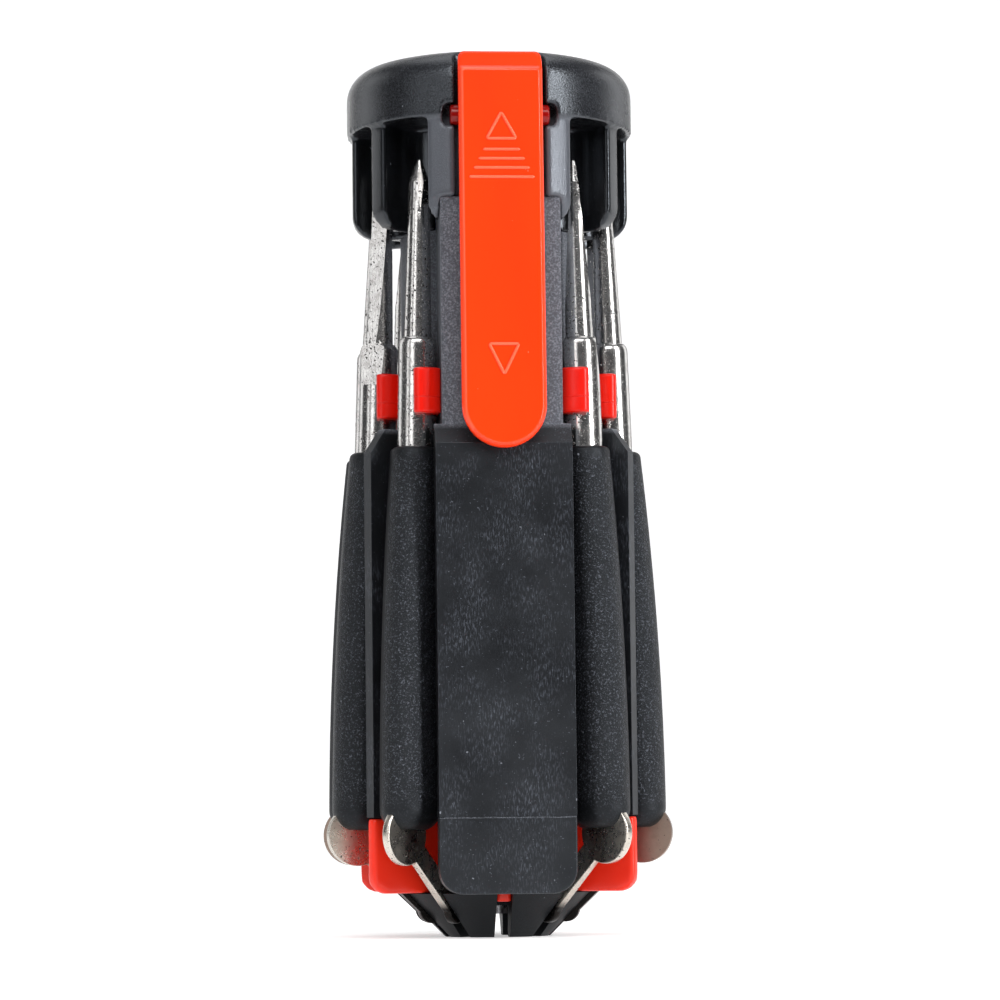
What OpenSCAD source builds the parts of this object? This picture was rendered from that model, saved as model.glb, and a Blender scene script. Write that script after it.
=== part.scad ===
// Folding multi-screwdriver: drivers folded up round a core, with a torch head and a belt clip.
// The origin is the middle of the base, +Z is up and the belt clip faces -Y.
// An azimuth is measured from the front, positive towards +X.

/* [Heights, from the base up] */
// Height of the slotted claw that the tool stands on
claw_h = 6.3; // [5.6:0.1:8]
// Height of the hub, its feet and the two shoes
hub_h = 10.8; // [9:0.1:14]
// Height of the flat panels and ribs above the hub
panel_h = 52.6; // [46:0.1:64]
// Height of the sloping ledge on top of each panel
ledge_h = 2.9; // [1:0.1:5]
// Height of the open neck between the ledge and the head
neck_h = 28.9; // [24:0.1:40]
// Height of the head's skirt, which covers the driver tips
skirt_h = 15.2; // [13:0.1:20]
// Height of the head's rim
rim_h = 9.7; // [8.6:0.1:12]

/* [Core, ribs and panels] */
// Outside diameter of the core
core_d = 26.4; // [25.4:0.1:26.6]
// Thickness of the core's wall
core_wall = 1.6; // [1.2:0.1:2]
// Thickness of the floor under the core and of the bulkhead under the batteries
floor_t = 2; // [1.2:0.1:4]
// Diameter over the ribs
rib_d = 44.6; // [38:0.1:50]
// How far the side ribs lie inside that diameter
side_rib_in = 4; // [0:0.1:5]
// Thickness of a rib and of a hub foot
rib_t = 1.8; // [1:0.1:2]
// Height of the slope that cuts a rib's outer top corner
rib_slope_h = 3.5; // [1:0.1:6]
// Depth of that slope
rib_slope_w = 2.6; // [1:0.1:5]
// Width of the front and rear panels
panel_w = 19.4; // [16:0.1:22]
// How far the face of a panel lies behind the rim
panel_inset = 0.5; // [0.2:0.1:2]
// Width of the column above each panel
column_w = 17.2; // [16:0.1:19]
// How far a column's face lies behind its panel's face
column_inset = 2.2; // [1.8:0.1:2.6]

/* [Head] */
// How far the rim reaches beyond the driver tips
rim_over = 4.4; // [4:0.1:6]
// Radius of the rim's rounded top edge
rim_round = 4.4; // [1:0.1:4.4]
// How far the skirt below the rim reaches beyond the driver tips
skirt_over = 3.7; // [2.6:0.1:4]
// Radius of the skirt's rounded lower edge
skirt_round = 3.4; // [1:0.1:5]
// Width of a pocket for a driver tip
pocket_w = 7.8; // [5.2:0.1:8]
// Width of the box in front and behind
box_w = 20.1; // [18:0.1:22]
// Height of the box
box_h = 11.6; // [10.4:0.1:12.4]
// Thickness of the floor between the pockets and the torch
head_floor_t = 1.2; // [1.1:0.1:1.6]
// Diameter of the torch chamber
chamber_d = 30.8; // [30.6:0.1:31.6]

/* [Drivers] */
// Azimuth of the drivers nearest the front
first_azimuth = 42; // [41:0.5:44]
// Angle from one driver to the next on the same side
azimuth_step = 32; // [31.5:0.5:33]
// How far a driver's axis lies outside the grips' inner circle, at the foot of its grip
foot_out = 6.25; // [5.5:0.05:8]
// The same at the tip
tip_out = 2.95; // [2.6:0.05:4]
// How far a tip reaches into the head's skirt
tip_depth = 9.8; // [6:0.1:12]
// Gap between the top of a grip and the clip bank above it
grip_gap = 4.73; // [4.3:0.01:10]
// How far a grip reaches below the top of the hub
grip_drop = 1.7; // [0.5:0.1:3]
// Width of a grip
grip_w = 7; // [6:0.1:7.2]
// Reach of a grip outwards from its axis, at its foot
grip_foot_reach = 5.06; // [4.4:0.02:5.6]
// The same at the middle
grip_mid_reach = 5.2; // [4.4:0.02:5.8]
// The same at the top
grip_top_reach = 3.84; // [3.6:0.02:4.8]
// Radius of a grip's rounded top
grip_round = 0.8; // [0.3:0.1:1.5]
// Radius of a grip's rounded foot
grip_foot_round = 2.6; // [0.5:0.1:3]
// Diameter of the thick part of a shank
shank_d = 5.5; // [5:0.1:5.8]
// Length of shank held inside the grip
shank_hold = 26; // [12:0.5:36]
// Diameter of a shank just above its shoulder
neck_d = 4; // [3.6:0.1:4.6]
// Height of the rounded shoulder
shoulder_h = 1.2; // [0.5:0.1:3]
// Length of the flutes of a cross tip
flute_l = 7; // [4:0.1:10]
// Length of the flats of a slotted tip
blade_l = 16; // [8:0.5:20]
// Thickness of a slotted tip
blade_t = 0.7; // [0.4:0.05:1.2]

/* [Arm plates and pivots] */
// Thickness of an arm plate
arm_t = 1.2; // [0.8:0.1:1.5]
// Width of the straight arm
arm_w = 3.2; // [2:0.1:3.6]
// Diameter of the thumb lobe
lobe_d = 8.7; // [6:0.1:10]
// Distance of the lobe's centre outside the driver's axis
lobe_out = 1.6; // [1:0.1:3]
// Distance of the lobe's centre below the grip's end
lobe_drop = 0.7; // [0:0.1:2]
// Diameter of the eye round the pivot pin
eye_d = 4; // [3:0.1:4.4]
// Width of the tang inside the grip
tang_w = 4; // [2:0.1:5]
// Length of the tang inside the grip
tang_l = 14; // [6:0.5:22]
// Height of the pivots above the base
pivot_h = 4; // [3:0.1:4.2]
// Diameter of a pivot pin
pin_d = 1.4; // [1:0.1:1.6]
// Length of a pivot pin
pin_l = 3.6; // [3:0.1:3.8]

/* [Claw and hub] */
// How far the edge of the claw's foot lies inside the pivots
claw_foot_in = 2.5; // [0.5:0.1:3.4]
// How far the edge of the claw's top lies outside the pivots
claw_top_out = 3.8; // [3.6:0.1:6]
// Diameter of the hollow under the claw
claw_bore_d = 9.2; // [8:0.1:10]
// Thickness of the claw's web above the hollow
claw_web_t = 1.5; // [1:0.1:1.7]
// Depth from the top of the claw's hollow to the top of the slots that meet it
slot_drop = 0.3; // [0.1:0.1:0.5]
// Gap between the eyes of the arms and the web between the slots
web_gap = 0.7; // [0.3:0.1:1.6]
// Width of the slot in the front and back of the claw
key_slot_w = 2.2; // [1.5:0.1:3]
// Diameter of the hub
hub_d = 18.4; // [16:0.1:19]
// Radius of the lower outer corner of a hub foot
foot_round = 2.5; // [1:0.1:4]
// Gap above and below a hub foot
foot_relief = 0.1; // [0.05:0.05:0.2]
// Radius of the lower corners of a shoe
shoe_round = 3.5; // [1:0.1:4.5]
// Width of the hub's tongue inside each shoe
tongue_w = 6; // [4:0.1:10]

/* [Clip banks] */
// Gap between the ledge and a bank of spring clips
bank_gap = 1.7; // [0.8:0.1:4]
// Height of a bank
bank_h = 6.5; // [4:0.1:9]
// Thickness of the band against the core
band_t = 1.4; // [0.8:0.1:1.8]
// Thickness of a spring finger
finger_t = 1.9; // [1.2:0.1:2]
// Half of the angle over which a spring clip is open
mouth_angle = 68; // [40:1:72]
// Angle by which the mouths of the front and rear clips are turned towards the sides
mouth_turn = 37; // [0:1:40]

/* [Belt clip] */
// Width of the belt clip
clip_w = 12; // [9:0.1:12.4]
// Thickness of the belt clip
clip_t = 1.8; // [1.2:0.1:2.2]
// How far the belt clip reaches below the start of the ledge
clip_drop = 0.9; // [0:0.1:8]
// How far the belt clip stands in front of the rim
clip_proud = 0.5; // [0.2:0.1:1]
// Gap between the belt clip's tip and the panel
clip_gap = 0.35; // [0.2:0.05:1]
// Gap on each side of the belt clip inside the head
clip_side_gap = 0.4; // [0.2:0.05:0.6]
// How far the belt clip's top lies below the rim's top
clip_top_drop = 0.6; // [0.2:0.1:1.2]
// Bevel round the belt clip's front
clip_bevel = 0.65; // [0.2:0.05:0.9]
// Height of the slope at the belt clip's top
clip_slope_h = 2.7; // [1:0.1:5]
// Diameter of the hinge lugs
lug_d = 3; // [2.4:0.1:3.2]
// Length of a hinge lug beside the clip
lug_l = 1.1; // [0.8:0.1:1.4]
// Gap between the end of a lug and the end of its window
window_gap = 1; // [0.4:0.1:1.2]
// Depth of the lug axis behind the clip's back face
lug_depth = 1.3; // [0.8:0.1:1.5]
// Free depth behind the clip inside the head
press_room = 2.3; // [1.8:0.1:2.6]
// Thickness of the raised marks
mark_t = 0.25; // [0.15:0.05:0.5]
// Line width of the raised marks
mark_line = 0.45; // [0.3:0.05:0.8]

/* [Torch, power and switch] */
// Thickness of the lens
lens_t = 1.6; // [1:0.1:2]
// Width of the step that the lens sits on
lens_land = 0.9; // [0.5:0.1:1]
// Depth of the lens below the rim's top
lens_recess = 0.4; // [0.2:0.1:1]
// Number of LEDs
led_count = 6; // [3:1:7]
// Diameter of an LED
led_d = 4.8; // [3:0.1:5]
// Distance from the main axis to an LED
led_r = 7.6; // [6.4:0.1:8]
// Thickness of the LED board
board_t = 1.2; // [0.8:0.1:1.6]
// Gap between a battery cell and the bore round it
cell_clear = 0.3; // [0.25:0.05:0.8]
// Length of a battery cell
cell_l = 44.5; // [40:0.1:45]
// Thickness of the carrier's end discs
carrier_t = 1.6; // [1:0.1:2.5]
// Height of the upper contact leaf
leaf_h = 3; // [2:0.1:5]
// Thickness of the contact metal
contact_t = 0.4; // [0.2:0.05:0.6]
// Diameter of the switch button
button_d = 6; // [4:0.1:6.6]
// How far the button stands out of the rear box
button_proud = 1.6; // [1.3:0.1:2.4]
// Travel of the button
button_travel = 1.2; // [0.6:0.1:1.4]

/* [Screws] */
// Diameter of the hub screw
hub_screw_d = 2.6; // [2:0.1:3]
// Thread length of the hub screw in the core
hub_screw_grip = 6; // [4:0.5:10]
// Diameter of the head screws
head_screw_d = 2; // [1.4:0.1:2.2]
// Thread length of the head screws in the columns
head_screw_grip = 6; // [4:0.5:12]

/* [Fits] */
// Clearance round pins and shanks that run or snap
running_clear = 0.05; // [0.02:0.01:0.09]
// Clearance between pieces that are fixed to each other
seat_clear = 0.03; // [0.02:0.01:0.08]
// Clearance between folded grips and the panels beside them
grip_clear = 0.35; // [0.2:0.05:0.5]
// Clearance beside the arms in their slots
slot_clear = 0.2; // [0.1:0.05:0.3]

/* [Hidden] */

$fn = 64;
hull_fn = 32;

// One overrun for all cuts, and the thickness of the slices inside a hull
cut = 0.4;
slice_t = 0.02;

// Finishes
black = [0.13, 0.14, 0.16];
red = [0.86, 0.15, 0.07];
clip_red = [0.95, 0.27, 0.1];
chrome = [0.75, 0.76, 0.78];
nickel = [0.66, 0.64, 0.6];
steel = [0.55, 0.56, 0.58];
brass = [0.75, 0.6, 0.3];

// Levels
hub_top = claw_h + hub_h;
ledge_z = hub_top + panel_h;
ledge_top = ledge_z + ledge_h;
head_z = ledge_top + neck_h;
rim_z = head_z + skirt_h;
top_z = rim_z + rim_h;
box_z = rim_z - box_h;

// Places round the axis: four drivers a side, from front to back, with a rib between neighbours.
// A rib is an azimuth and a radius.
side_count = 4;
step_half_share = 0.5;
function driver_azimuth(i) = (i < side_count ? -1 : 1) * (first_azimuth + (i % side_count) * azimuth_step);
driver_azimuths = [for (i = [0 : 2 * side_count - 1]) driver_azimuth(i)];
ribs = [
    for (side = [-1, 1], k = [0 : side_count - 2])
        let (r = rib_d / 2 - (k == 1 ? side_rib_in : 0))
            [side * (first_azimuth + (k + step_half_share) * azimuth_step), r]
];
end_azimuths = [0, 180];

// Driver axis, and the pivot radius that brings a fully swung driver onto the main axis.
// The grips' inner sides clear the core and the ribs.
bore_d = core_d - 2 * core_wall;
grip_rib_r = (rib_t / 2 + grip_w / 2 + slot_clear) / sin(azimuth_step / 2) - grip_w / 2;
grip_inner_r = max(core_d / 2 + grip_clear, grip_rib_r);
foot_r = grip_inner_r + foot_out;
tip_r = grip_inner_r + tip_out;
grip_z = hub_top - grip_drop;
tip_z = head_z + tip_depth;
lean = atan((foot_r - tip_r) / (tip_z - grip_z));
function axis_r(z) = foot_r - (z - grip_z) * tan(lean);
pivot_r = axis_r(pivot_h) * cos(lean) / (1 + cos(lean));
lobe_x = foot_r + lobe_out;
lobe_z = grip_z - lobe_drop;
arm_angle = atan2(lobe_z - pivot_h, lobe_x - pivot_r);
arm_l = norm([lobe_x - pivot_r, lobe_z - pivot_h]);

// Grip: it leans closest to the main axis at its top
bank_z = ledge_top + bank_gap;
grip_top_z = bank_z - grip_gap;
grip_l = (grip_top_z - grip_z) / cos(lean);
grip_inner_reach = axis_r(grip_top_z) - grip_inner_r;
grip_mid_share = 0.5;
foot_angles = [30, 60, 90];

// Tip sizes on each side, from front to back
tip_ds = [3, 2.7, 2.4, 3.4];
flute_core_share = 0.3;
cone_share = 1.1;
point_share = 0.25;
blade_spin = 45;

// Rim, skirt and the panel section behind its flat face, which is kept clear of the nearest grips
rim_d = 2 * (tip_r + rim_over);
skirt_d = 2 * (tip_r + skirt_over);
panel_d = rim_d - 2 * panel_inset;
panel_y = panel_d / 2;
column_y = panel_y - column_inset;
panel_back_y = (grip_w / 2 + grip_clear + panel_w / 2 * cos(first_azimuth)) / sin(first_azimuth);
web_w = 2 * ((grip_inner_r + grip_w / 2) * sin(first_azimuth) - grip_w / 2 - grip_clear);
web_y = panel_back_y - (panel_w - web_w) / 2;

// A shoe starts in front of the arms beside it
arm_slot_w = arm_t + 2 * slot_clear;
shoe_y = web_w / 2 / tan(first_azimuth) + arm_slot_w / 2 / sin(first_azimuth);

// Ribs and panels start inside the core's wall
wall_r = (core_d + bore_d) / 4;
wall_share = 0.8;
wall_y = wall_share * bore_d / 2;

// Head: the box lies this far behind the rim
box_inset = 0.45;
box_y = rim_d / 2 - box_inset;
chamber_z = rim_z + head_floor_t;
lens_z = top_z - lens_recess - lens_t;
lens_seat_d = chamber_d + 2 * lens_land;
wire_hole_d = 8;

// Belt clip: the lug axis, and the lean that brings the tip in front of the panel
clip_back_y = rim_d / 2 + clip_proud - clip_t;
lug_y = clip_back_y - lug_depth;
lug_rise = 0.1;
lug_z = rim_z + lug_rise;
clip_top = top_z - clip_top_drop - lug_z;
clip_end_z = ledge_z - clip_drop;
clip_lean = atan((panel_y + clip_gap - clip_back_y) / (lug_z - ledge_z));
clip_slot_w = clip_w + 2 * clip_side_gap;
clip_slot_y = clip_back_y - press_room;
window_w = clip_w + 2 * (lug_l + window_gap);
window_d = lug_d + 2 * running_clear;

// Raised marks on the belt clip, measured from its top
mark_drop = 9.2;
triangle_w = 4.2;
triangle_h = 3.8;
bar_count = 4;
bar_pitch = 1.32;
bar_l = 5.3;
bar_growth = 1.33;
lower_mark_rise = 10.8;

// Clip banks
bank_r = axis_r(bank_z + bank_h / 2);
finger_in_r = shank_d / 2 + running_clear;
finger_mid_r = finger_in_r + finger_t / 2;
shoulder_gap = 3.5;
shoulder_z = bank_z + bank_h + shoulder_gap;

// Torch
board_z = chamber_z + seat_clear;
board_top = board_z + board_t;
led_rim_share = 1.08;
led_rim_d = led_rim_share * led_d;
led_rim_h = 0.7;
led_dome_share = 0.35;
led_h = lens_z - board_top - led_rim_h;
reflector_z = board_top + led_rim_h + seat_clear;
reflector_t = 0.7;
reflector_flat_d = 2 * led_r + led_d + 2 * reflector_t;

// Power: three cells fill the bore. The carrier stands under the head floor, with its leaf between them
cell_gap = 0.27;
cell_d = 2 * (bore_d / 2 - cell_clear - cell_gap / cos(30)) / (1 + 1 / cos(30));
cell_r = (cell_d / 2 + cell_gap) / cos(30);
cell_room = cell_l + 2 * contact_t + 2 * seat_clear;
carrier_h = cell_room + 2 * carrier_t;
carrier_z = rim_z - leaf_h - carrier_h - seat_clear;
carrier_d = bore_d - 2 * slot_clear;
spine_d = 2 * (cell_r - cell_d / 2 - seat_clear);
nub_d = 3.8;
nub_l = 0.8;
link_w = 5;
plate_d = 14;
bulkhead_z = carrier_z - contact_t - 2 * seat_clear - floor_t;
boss_d = 2 * hub_screw_d;

// Switch: the button's flange stops behind the rear wall of the box
box_wall = 2;
flange_t = 0.9;
flange_lip = 0.7;
flange_d = button_d + 2 * flange_lip;
button_end_y = box_y + button_proud;
flange_y = box_y - box_wall - seat_clear;
switch_z = box_z + box_h / 2;
switch_front_y = flange_y - flange_t - button_travel - slot_clear;
switch_l = 3.6;
switch_w = 7;
switch_h = 6.6;

// Screws
hub_head_share = 1.9;
hub_head_h_share = 0.6;
hub_head_d = hub_head_share * hub_screw_d;
hub_head_h = hub_head_h_share * hub_screw_d;
hub_head_z = claw_h - claw_web_t - hub_head_h;
small_head_share = 1.7;
small_head_h_share = 0.5;
head_head_d = small_head_share * head_screw_d;
head_head_h = small_head_h_share * head_screw_d;
head_screw_r = bore_d / 2 + head_head_d / 2 + slot_clear + running_clear;
head_screw_azimuth = 22.5;
head_screw_azimuths = [
    for (a = end_azimuths, side = [-1, 1]) a + side * head_screw_azimuth
];

// Claw, and the key of the hub in its front and back slots
claw_foot_d = 2 * (pivot_r - claw_foot_in);
claw_top_d = 2 * (pivot_r + claw_top_out);
web_r = pivot_r - eye_d / 2 - web_gap;
key_h = 1.2;
key_w = key_slot_w - 2 * seat_clear;
key_reach_share = 0.42;
tongue_inset = 2.2;
tongue_y = panel_back_y;

// Turns a shape that faces the front to an azimuth
module at_azimuth(a) {
    rotate([0, 0, a]) children();
}

// Stands an outline up in the plane of the main axis: x is the radius and y the height
module radial_plate(t) {
    rotate([90, 0, -90]) linear_extrude(height = t, center = true) children();
}

// Stands an outline up facing the front: x is the width and y the height
module front_plate(t) {
    rotate([90, 0, 0]) linear_extrude(height = t) children();
}

// The leaning axis of a driver at the front, from the foot of its grip upwards
module on_driver_axis() {
    translate([0, -foot_r, grip_z]) rotate([-lean, 0, 0]) children();
}

// A box centred on x, from y_near to y_far in front of the main axis
module front_box(w, y_near, y_far, z_low, z_high) {
    translate([-w / 2, -y_far, z_low]) cube([w, y_far - y_near, z_high - z_low]);
}

// A bar along X through a point in front of the main axis
module cross_bar(d, l, y, z) {
    translate([0, -y, z]) rotate([0, 90, 0]) cylinder(d = d, h = l, center = true);
}

// Section of a panel and its web, seen from above, from y_near outwards
module panel_section(y_near) {
    web = web_w / 2;
    w = panel_w / 2;
    polygon([
        [web, -y_near], [web, -web_y], [w, -panel_back_y], [w, -panel_y],
        [-w, -panel_y], [-w, -panel_back_y], [-web, -web_y], [-web, -y_near]
    ]);
}

// A rib of the body, with its outer top corner cut at a slope
module rib_outline(r) {
    low = hub_top + foot_relief;
    polygon([
        [wall_r, low], [r, low], [r, ledge_top - rib_slope_h],
        [r - rib_slope_w, ledge_top], [wall_r, ledge_top]
    ]);
}

// The ledge that slopes from a panel's face back to its column's face, seen from the side
module ledge_outline() {
    polygon([[wall_y, ledge_z], [panel_y, ledge_z], [column_y, ledge_top], [wall_y, ledge_top]]);
}

module core_hollows() {
    translate([0, 0, bulkhead_z + floor_t]) cylinder(d = bore_d, h = top_z);
    translate([0, 0, hub_top + floor_t]) difference() {
        cylinder(d = bore_d, h = bulkhead_z - hub_top - floor_t);
        translate([0, 0, -cut]) cylinder(d = boss_d, h = hub_screw_grip + cut);
    }
}

module hub_screw_hole(d) {
    translate([0, 0, -cut]) cylinder(d = d, h = hub_top + floor_t + hub_screw_grip + 2 * cut);
}

module head_screw_holes(d, z_low, z_high) {
    for (a = head_screw_azimuths)
        at_azimuth(a) translate([0, -head_screw_r, z_low]) cylinder(d = d, h = z_high - z_low);
}

module body() {
    color(black) difference() {
        union() {
            translate([0, 0, hub_top]) cylinder(d = core_d, h = head_z - hub_top);
            for (rib = ribs) at_azimuth(rib[0]) radial_plate(rib_t) rib_outline(rib[1]);
            for (a = end_azimuths) at_azimuth(a) {
                translate([0, 0, hub_top]) linear_extrude(height = panel_h) panel_section(wall_y);
                intersection() {
                    radial_plate(panel_w) ledge_outline();
                    translate([0, 0, ledge_z]) linear_extrude(height = ledge_h) panel_section(wall_y);
                }
                front_box(column_w, wall_y, column_y, ledge_z, box_z);
            }
        }
        core_hollows();
        hub_screw_hole(hub_screw_d);
        head_screw_holes(head_screw_d, box_z - head_screw_grip, box_z + cut);
    }
}

// Profile of the rim with its rounded top edge
module rim_profile() {
    r = rim_d / 2;
    intersection() {
        translate([0, rim_z]) square([r, rim_h]);
        union() {
            translate([0, rim_z - cut]) square([r, rim_h - rim_round + cut]);
            translate([0, rim_z]) square([r - rim_round, rim_h]);
            translate([r - rim_round, top_z - rim_round]) circle(r = rim_round);
        }
    }
}

// Profile of the skirt with its rounded lower edge
module skirt_profile() {
    r = skirt_d / 2;
    translate([0, head_z]) square([r - skirt_round, skirt_h]);
    translate([0, head_z + skirt_round]) square([r, skirt_h - skirt_round]);
    intersection() {
        translate([0, head_z]) square([r, skirt_h]);
        translate([r - skirt_round, head_z + skirt_round]) circle(r = skirt_round);
    }
}

// A pocket for a driver tip, round inside and open outwards
module tip_pocket() {
    translate([0, 0, head_z - cut]) linear_extrude(height = skirt_h + cut) {
        translate([0, -tip_r]) circle(d = pocket_w);
        translate([-pocket_w / 2, -rim_d]) square([pocket_w, rim_d - tip_r]);
    }
}

// The way that the belt clip and its lugs take through the head
module clip_way() {
    front_box(clip_slot_w, clip_slot_y, rim_d, head_z, top_z + cut);
    cross_bar(window_d, window_w, lug_y, lug_z);
    front_box(window_w, lug_y, rim_d, lug_z - window_d / 2, lug_z + window_d / 2);
}

// The way of the button and the room for the switch behind it
module switch_way() {
    at_azimuth(180) {
        translate([0, -box_y - cut, switch_z]) rotate([-90, 0, 0])
            cylinder(d = button_d + 2 * running_clear, h = box_wall + 2 * cut);
        front_box(switch_w + 2 * seat_clear, 0, box_y - box_wall,
            switch_z - switch_h / 2 - seat_clear, switch_z + switch_h / 2 + seat_clear);
        translate([0, -box_y + box_wall, switch_z]) rotate([-90, 0, 0])
            cylinder(d = flange_d + 2 * running_clear, h = box_y - box_wall - bore_d / 2);
    }
}

module head_cup() {
    column_room = column_w + 2 * seat_clear;
    color(black) difference() {
        union() {
            rotate_extrude() rim_profile();
            rotate_extrude() skirt_profile();
            intersection() {
                for (a = end_azimuths) at_azimuth(a) front_box(box_w, 0, box_y, box_z, rim_z);
                translate([0, 0, box_z]) cylinder(r = box_y, h = box_h);
            }
        }
        translate([0, 0, head_z - cut]) cylinder(d = bore_d, h = skirt_h + cut);
        translate([0, 0, rim_z - cut]) cylinder(d = wire_hole_d, h = head_floor_t + 2 * cut);
        translate([0, 0, chamber_z]) cylinder(d = chamber_d, h = rim_h);
        translate([0, 0, lens_z]) cylinder(d = lens_seat_d, h = rim_h);
        for (a = driver_azimuths) at_azimuth(a) tip_pocket();
        for (a = end_azimuths) at_azimuth(a) front_box(column_room, 0, rim_d, head_z - cut, box_z);
        clip_way();
        switch_way();
        head_screw_holes(head_screw_d + 2 * running_clear, head_z, top_z);
        head_screw_holes(head_head_d + 2 * running_clear, chamber_z - head_head_h - running_clear, top_z);
    }
}

module lens() {
    color([0.85, 0.9, 0.95, 0.5]) translate([0, 0, lens_z + seat_clear])
        cylinder(d = lens_seat_d - 2 * seat_clear, h = lens_t);
}

// Places of the LEDs on the board
module at_leds() {
    for (k = [0 : led_count - 1]) rotate([0, 0, k * 360 / led_count]) translate([0, -led_r, 0]) children();
}

module reflector() {
    r = chamber_d / 2 - slot_clear;
    flat_r = reflector_flat_d / 2;
    color(chrome) difference() {
        translate([0, 0, reflector_z]) rotate_extrude() polygon([
            [0, 0], [flat_r, 0], [r, lens_z - reflector_z], [r - reflector_t, lens_z - reflector_z],
            [flat_r - reflector_t, reflector_t], [0, reflector_t]
        ]);
        at_leds() translate([0, 0, reflector_z - cut])
            cylinder(d = led_d + 2 * slot_clear, h = reflector_t + 2 * cut);
    }
}

module led_board() {
    color("darkgreen") translate([0, 0, board_z]) cylinder(d = chamber_d - 2 * slot_clear, h = board_t);
}

module leds() {
    dome = led_dome_share * led_d;
    straight = led_h - dome - slot_clear;
    color("ivory") at_leds() translate([0, 0, board_top]) {
        cylinder(d = led_rim_d, h = led_rim_h);
        translate([0, 0, led_rim_h]) cylinder(d = led_d, h = straight);
        translate([0, 0, led_rim_h + straight]) cylinder(d1 = led_d, d2 = led_d - 2 * dome, h = dome);
    }
}

module battery_carrier() {
    color(black) translate([0, 0, carrier_z]) {
        cylinder(d = carrier_d, h = carrier_t);
        cylinder(d = spine_d, h = carrier_h);
        translate([0, 0, carrier_h - carrier_t]) cylinder(d = carrier_d, h = carrier_t);
    }
}

// Places of the cells round the spine
module at_cell(k) {
    rotate([0, 0, k * 120]) translate([0, -cell_r, 0]) children();
}

// A battery cell. The middle one stands upside down, so that the three are in series.
module cell(k) {
    z = carrier_z + carrier_t + contact_t + seat_clear;
    flip = k == 1 ? 1 : 0;
    color("seagreen") at_cell(k) translate([0, 0, z + flip * cell_l]) mirror([0, 0, flip]) {
        cylinder(d = cell_d, h = cell_l - nub_l);
        cylinder(d = nub_d, h = cell_l);
    }
}

module cell_links() {
    low = carrier_z + carrier_t;
    high = carrier_z + carrier_h - carrier_t - contact_t;
    color(nickel) for (k = [0 : 2], z = [low, high])
        at_cell(k) translate([-link_w / 2, -link_w / 2, z]) cube([link_w, link_w, contact_t]);
}

module contact_plate() {
    color(brass) translate([0, 0, bulkhead_z + floor_t + seat_clear]) cylinder(d = plate_d, h = contact_t);
}

// A bent strip between the carrier and the head floor, seen from the side
module contact_leaf() {
    x = plate_d / 2;
    low = carrier_z + carrier_h;
    high = rim_z - seat_clear;
    color(brass) rotate([90, 0, 0]) linear_extrude(height = link_w, center = true) polygon([
        [-x, low], [x, low], [x, low + contact_t], [contact_t - x, low + contact_t],
        [contact_t - x, high - contact_t], [x, high - contact_t], [x, high], [-x, high]
    ]);
}

module switch_body() {
    color(black) at_azimuth(180)
        front_box(switch_w, switch_front_y - switch_l, switch_front_y,
            switch_z - switch_h / 2, switch_z + switch_h / 2);
}

module switch_button() {
    color(red) at_azimuth(180) translate([0, -button_end_y, switch_z]) rotate([-90, 0, 0]) {
        cylinder(d = button_d, h = button_end_y - flange_y);
        translate([0, 0, button_end_y - flange_y]) cylinder(d = flange_d, h = flange_t);
    }
}

// One spring clip round a shank, seen from above, open to the front
module spring_clip() {
    out_r = finger_in_r + finger_t;
    tip_angle = mouth_angle + finger_t / finger_mid_r * 90 / PI;
    difference() {
        circle(r = out_r);
        polygon([[0, 0], [-out_r * tan(tip_angle), -out_r], [-out_r, -2 * out_r],
            [out_r, -2 * out_r], [out_r * tan(tip_angle), -out_r]]);
    }
    for (side = [-1, 1])
        rotate(side * tip_angle) translate([0, -finger_mid_r]) circle(d = finger_t);
}

// The four spring clips of one side on their band
module clip_bank(side) {
    band_r = core_d / 2 + band_t;
    color(red) difference() {
        translate([0, 0, bank_z]) linear_extrude(height = bank_h) {
            intersection() {
                circle(r = band_r);
                translate([side > 0 ? 0 : -band_r, -band_r]) square([band_r, 2 * band_r]);
            }
            for (k = [0 : side_count - 1]) rotate(side * (first_azimuth + k * azimuth_step)) {
                turn = k == 0 ? mouth_turn : (k == side_count - 1 ? -mouth_turn : 0);
                translate([0, -bank_r]) rotate(side * turn) spring_clip();
                translate([-finger_t, -bank_r + finger_mid_r]) square([2 * finger_t, band_t]);
            }
        }
        cylinder(d = core_d + 2 * seat_clear, h = top_z);
        for (k = [0 : side_count - 1]) at_azimuth(side * (first_azimuth + k * azimuth_step))
            on_driver_axis() cylinder(r = finger_in_r, h = tip_z);
        for (a = end_azimuths) at_azimuth(a)
            front_box(column_w + 2 * seat_clear, 0, panel_d, ledge_z, head_z);
    }
}

// Outline of the belt clip above and below its lug axis
module clip_outline(inset, top) {
    w = clip_w - 2 * inset;
    end = lug_z - clip_end_z - clip_w / 2;
    translate([-w / 2, -end]) square([w, end + top]);
    translate([0, -end]) circle(d = w, $fn = hull_fn);
}

// An upright triangle drawn as a line, with its base on the origin
module triangle_mark() {
    difference() {
        polygon([[-triangle_w / 2, 0], [triangle_w / 2, 0], [0, triangle_h]]);
        translate([0, mark_line]) polygon([
            [-triangle_w / 2 + 2 * mark_line, 0], [triangle_w / 2 - 2 * mark_line, 0],
            [0, triangle_h - 3 * mark_line]
        ]);
    }
}

module clip_marks() {
    base = clip_top - mark_drop - triangle_h;
    translate([0, base]) triangle_mark();
    for (k = [0 : bar_count - 1]) {
        l = bar_l + k * bar_growth;
        translate([-l / 2, base - (k + 1) * bar_pitch]) square([l, mark_line]);
    }
    translate([0, clip_end_z - lug_z + lower_mark_rise + triangle_h]) mirror([0, 1]) triangle_mark();
}

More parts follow.
